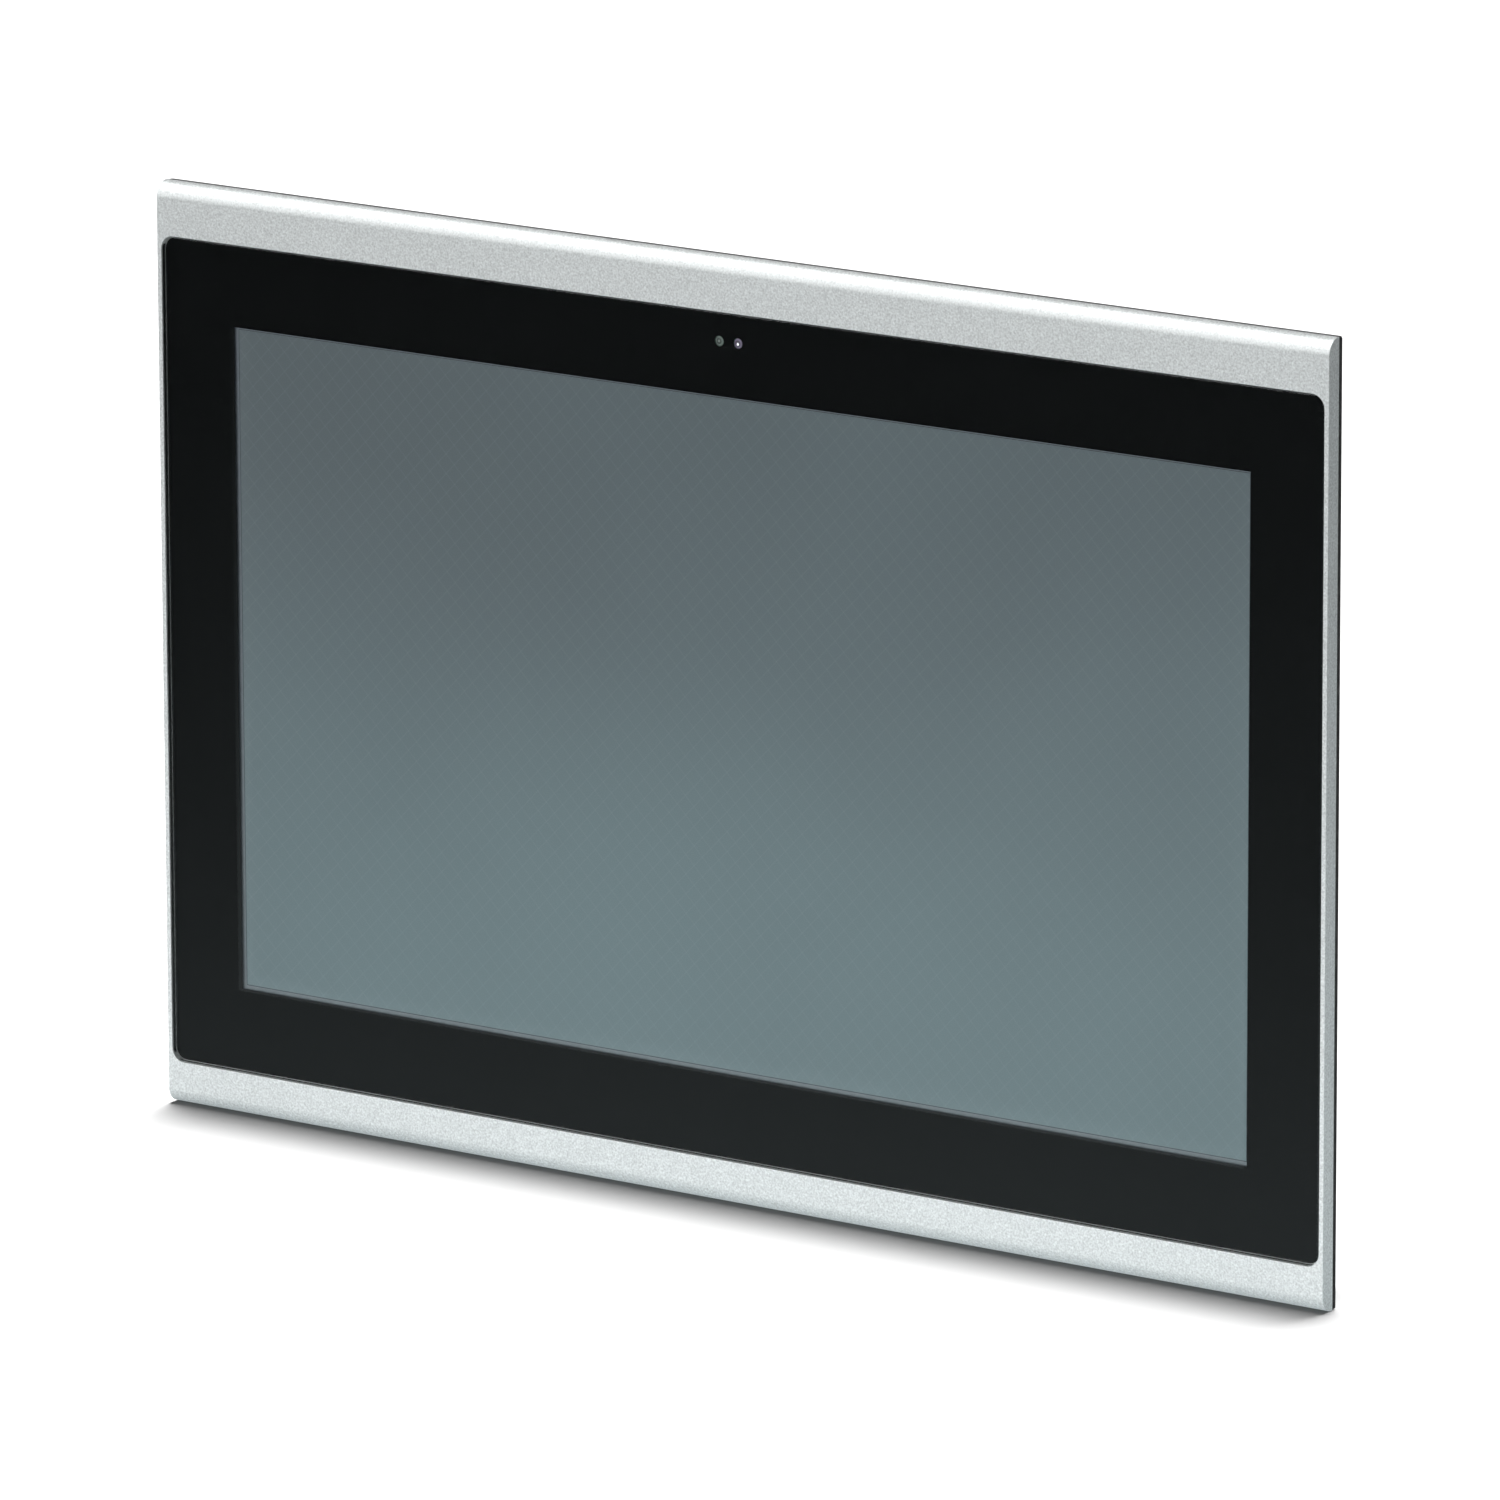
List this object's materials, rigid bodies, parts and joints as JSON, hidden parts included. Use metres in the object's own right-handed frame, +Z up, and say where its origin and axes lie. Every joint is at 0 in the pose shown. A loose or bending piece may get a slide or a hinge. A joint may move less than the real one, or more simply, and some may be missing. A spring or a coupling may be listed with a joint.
{
  "type": "hmi touch panel",
  "caption": "Flush-glass touch display in a slim aluminium frame, with a sealing gasket, stowed swing-out clamps and a finned electronics case behind.",
  "frame": {"origin": "centre of the plane where the gasket's rear face meets the front of the cabinet door", "axes": "+X to the operator's right, +Y from the screen into the cabinet, +Z up"},
  "size_m": [0.474, 0.0755, 0.325],
  "materials": {
    "anodised_aluminium": "fine bead-blasted, clear anodised",
    "cover_glass": "polished",
    "black_print": "black screen print on the rear of the glass",
    "black_tape": "matt",
    "touch_sensor": "polished, with a faint electrode grid",
    "foam": "matt closed-cell foam",
    "display_metal": "plain rolled sheet",
    "display_panel": "unlit screen, anti-glare",
    "clear_acrylic": "clear moulded",
    "circuit_board": "solder mask",
    "chip_black": "moulded package",
    "zinc_steel": "zinc-plated sheet",
    "gasket_rubber": "moulded, matt",
    "heat_sink_alloy": "extruded, anodised",
    "clamp_alloy": "die cast",
    "connector_plastic": "moulded",
    "plated_metal": "nickel plated",
    "plug_green": "moulded",
    "bright_steel": "zinc plated",
    "brass": "machined",
    "blank_label": "blank foil label"
  },
  "bodies": {
    "panel": {"front_frame": "anodised_aluminium", "cover_glass": "cover_glass", "border_print": "black_print", "glass_tape": "black_tape", "touch_sensor": "touch_sensor", "lcd_foam_gasket": "foam", "lcd_bezel": "display_metal", "lcd_cell": "display_panel", "light_guide": "clear_acrylic", "led_bar": "circuit_board", "lcd_tray": "display_metal", "display_carrier": "zinc_steel", "status_light_pipe": "clear_acrylic", "light_sensor_pipe": "clear_acrylic", "sensor_board": "circuit_board", "panel_gasket": "gasket_rubber", "rear_tray": "zinc_steel", "electronics_case": "zinc_steel", "rear_cover": "zinc_steel", "nameplate": "blank_label", "heat_sink": "heat_sink_alloy", "main_board": "circuit_board", "processor": "chip_black", "coin_cell_holder": "connector_plastic", "coin_cell": "plated_metal", "backlight_driver": "circuit_board", "touch_controller": "circuit_board", "display_ribbon": "black_tape", "lan_socket_1": "plated_metal", "lan_socket_2": "plated_metal", "usb_socket_1": "plated_metal", "usb_socket_2": "plated_metal", "card_socket": "plated_metal", "reset_switch": "connector_plastic", "power_header": "connector_plastic", "flap_pin": "bright_steel", "earth_stud": "brass", "earth_nut": "bright_steel"},
    "power_plug": {"power_plug": "plug_green"},
    "card_flap": {"card_flap": "connector_plastic"},
    "reset_button": {"reset_button": "connector_plastic"},
    "clamp_screw_1": {"clamp_screw_1": "bright_steel"},
    "clamp_nut_1": {"clamp_nut_1": "brass"},
    "clamp_lever_1": {"clamp_lever_1": "clamp_alloy"},
    "clamp_screw_2": {"clamp_screw_2": "bright_steel"},
    "clamp_nut_2": {"clamp_nut_2": "brass"},
    "clamp_lever_2": {"clamp_lever_2": "clamp_alloy"},
    "clamp_screw_3": {"clamp_screw_3": "bright_steel"},
    "clamp_nut_3": {"clamp_nut_3": "brass"},
    "clamp_lever_3": {"clamp_lever_3": "clamp_alloy"},
    "clamp_screw_4": {"clamp_screw_4": "bright_steel"},
    "clamp_nut_4": {"clamp_nut_4": "brass"},
    "clamp_lever_4": {"clamp_lever_4": "clamp_alloy"},
    "clamp_screw_5": {"clamp_screw_5": "bright_steel"},
    "clamp_nut_5": {"clamp_nut_5": "brass"},
    "clamp_lever_5": {"clamp_lever_5": "clamp_alloy"},
    "clamp_screw_6": {"clamp_screw_6": "bright_steel"},
    "clamp_nut_6": {"clamp_nut_6": "brass"},
    "clamp_lever_6": {"clamp_lever_6": "clamp_alloy"}
  },
  "joints": [
    {"name": "clamp_spin_1", "type": "hinge", "parent": "panel", "child": "clamp_screw_1", "pos_m": [-0.16, 0.022, 0.14], "axis": [0, -1, 0], "range_deg": [0, 2700]},
    {"name": "clamp_feed_1", "type": "slide", "parent": "panel", "child": "clamp_nut_1", "axis": [0, -1, 0], "range_m": [0, 0.006]},
    {"name": "clamp_swing_1", "type": "hinge", "parent": "clamp_nut_1", "child": "clamp_lever_1", "pos_m": [-0.16, 0.0095, 0.14], "axis": [0, -1, 0], "range_deg": [0, 90]},
    {"name": "clamp_spin_2", "type": "hinge", "parent": "panel", "child": "clamp_screw_2", "pos_m": [0.048, 0.022, 0.14], "axis": [0, -1, 0], "range_deg": [0, 2700]},
    {"name": "clamp_feed_2", "type": "slide", "parent": "panel", "child": "clamp_nut_2", "axis": [0, -1, 0], "range_m": [0, 0.006]},
    {"name": "clamp_swing_2", "type": "hinge", "parent": "clamp_nut_2", "child": "clamp_lever_2", "pos_m": [0.048, 0.0095, 0.14], "axis": [0, -1, 0], "range_deg": [0, 90]},
    {"name": "clamp_spin_3", "type": "hinge", "parent": "panel", "child": "clamp_screw_3", "pos_m": [0.16, 0.022, 0.14], "axis": [0, -1, 0], "range_deg": [0, 2700]},
    {"name": "clamp_feed_3", "type": "slide", "parent": "panel", "child": "clamp_nut_3", "axis": [0, -1, 0], "range_m": [0, 0.006]},
    {"name": "clamp_swing_3", "type": "hinge", "parent": "clamp_nut_3", "child": "clamp_lever_3", "pos_m": [0.16, 0.0095, 0.14], "axis": [0, 1, 0], "range_deg": [0, 90]},
    {"name": "clamp_spin_4", "type": "hinge", "parent": "panel", "child": "clamp_screw_4", "pos_m": [-0.16, 0.022, -0.14], "axis": [0, -1, 0], "range_deg": [0, 2700]},
    {"name": "clamp_feed_4", "type": "slide", "parent": "panel", "child": "clamp_nut_4", "axis": [0, -1, 0], "range_m": [0, 0.006]},
    {"name": "clamp_swing_4", "type": "hinge", "parent": "clamp_nut_4", "child": "clamp_lever_4", "pos_m": [-0.16, 0.0095, -0.14], "axis": [0, 1, 0], "range_deg": [0, 90]},
    {"name": "clamp_spin_5", "type": "hinge", "parent": "panel", "child": "clamp_screw_5", "pos_m": [-0.048, 0.022, -0.14], "axis": [0, -1, 0], "range_deg": [0, 2700]},
    {"name": "clamp_feed_5", "type": "slide", "parent": "panel", "child": "clamp_nut_5", "axis": [0, -1, 0], "range_m": [0, 0.006]},
    {"name": "clamp_swing_5", "type": "hinge", "parent": "clamp_nut_5", "child": "clamp_lever_5", "pos_m": [-0.048, 0.0095, -0.14], "axis": [0, -1, 0], "range_deg": [0, 90]},
    {"name": "clamp_spin_6", "type": "hinge", "parent": "panel", "child": "clamp_screw_6", "pos_m": [0.16, 0.022, -0.14], "axis": [0, -1, 0], "range_deg": [0, 2700]},
    {"name": "clamp_feed_6", "type": "slide", "parent": "panel", "child": "clamp_nut_6", "axis": [0, -1, 0], "range_m": [0, 0.006]},
    {"name": "clamp_swing_6", "type": "hinge", "parent": "clamp_nut_6", "child": "clamp_lever_6", "pos_m": [0.16, 0.0095, -0.14], "axis": [0, -1, 0], "range_deg": [0, 90]},
    {"name": "power_plug_pull", "type": "slide", "parent": "panel", "child": "power_plug", "axis": [0, 0, -1], "range_m": [0, 0.012]},
    {"name": "card_flap_hinge", "type": "hinge", "parent": "panel", "child": "card_flap", "pos_m": [0.084, 0.0455, -0.107], "axis": [1, 0, 0], "range_deg": [0, 110]},
    {"name": "reset_press", "type": "slide", "parent": "panel", "child": "reset_button", "axis": [0, 0, 1], "range_m": [0, 0.0006], "stiffness_N_per_m": 1500, "springref_m": -0.0004}
  ],
  "couplings": [
    {"joint": "clamp_spin_1", "follows": "clamp_feed_1", "rad_per_m": 7853.9},
    {"joint": "clamp_spin_2", "follows": "clamp_feed_2", "rad_per_m": 7853.9},
    {"joint": "clamp_spin_3", "follows": "clamp_feed_3", "rad_per_m": 7853.9},
    {"joint": "clamp_spin_4", "follows": "clamp_feed_4", "rad_per_m": 7853.9},
    {"joint": "clamp_spin_5", "follows": "clamp_feed_5", "rad_per_m": 7853.9},
    {"joint": "clamp_spin_6", "follows": "clamp_feed_6", "rad_per_m": 7853.9}
  ]
}
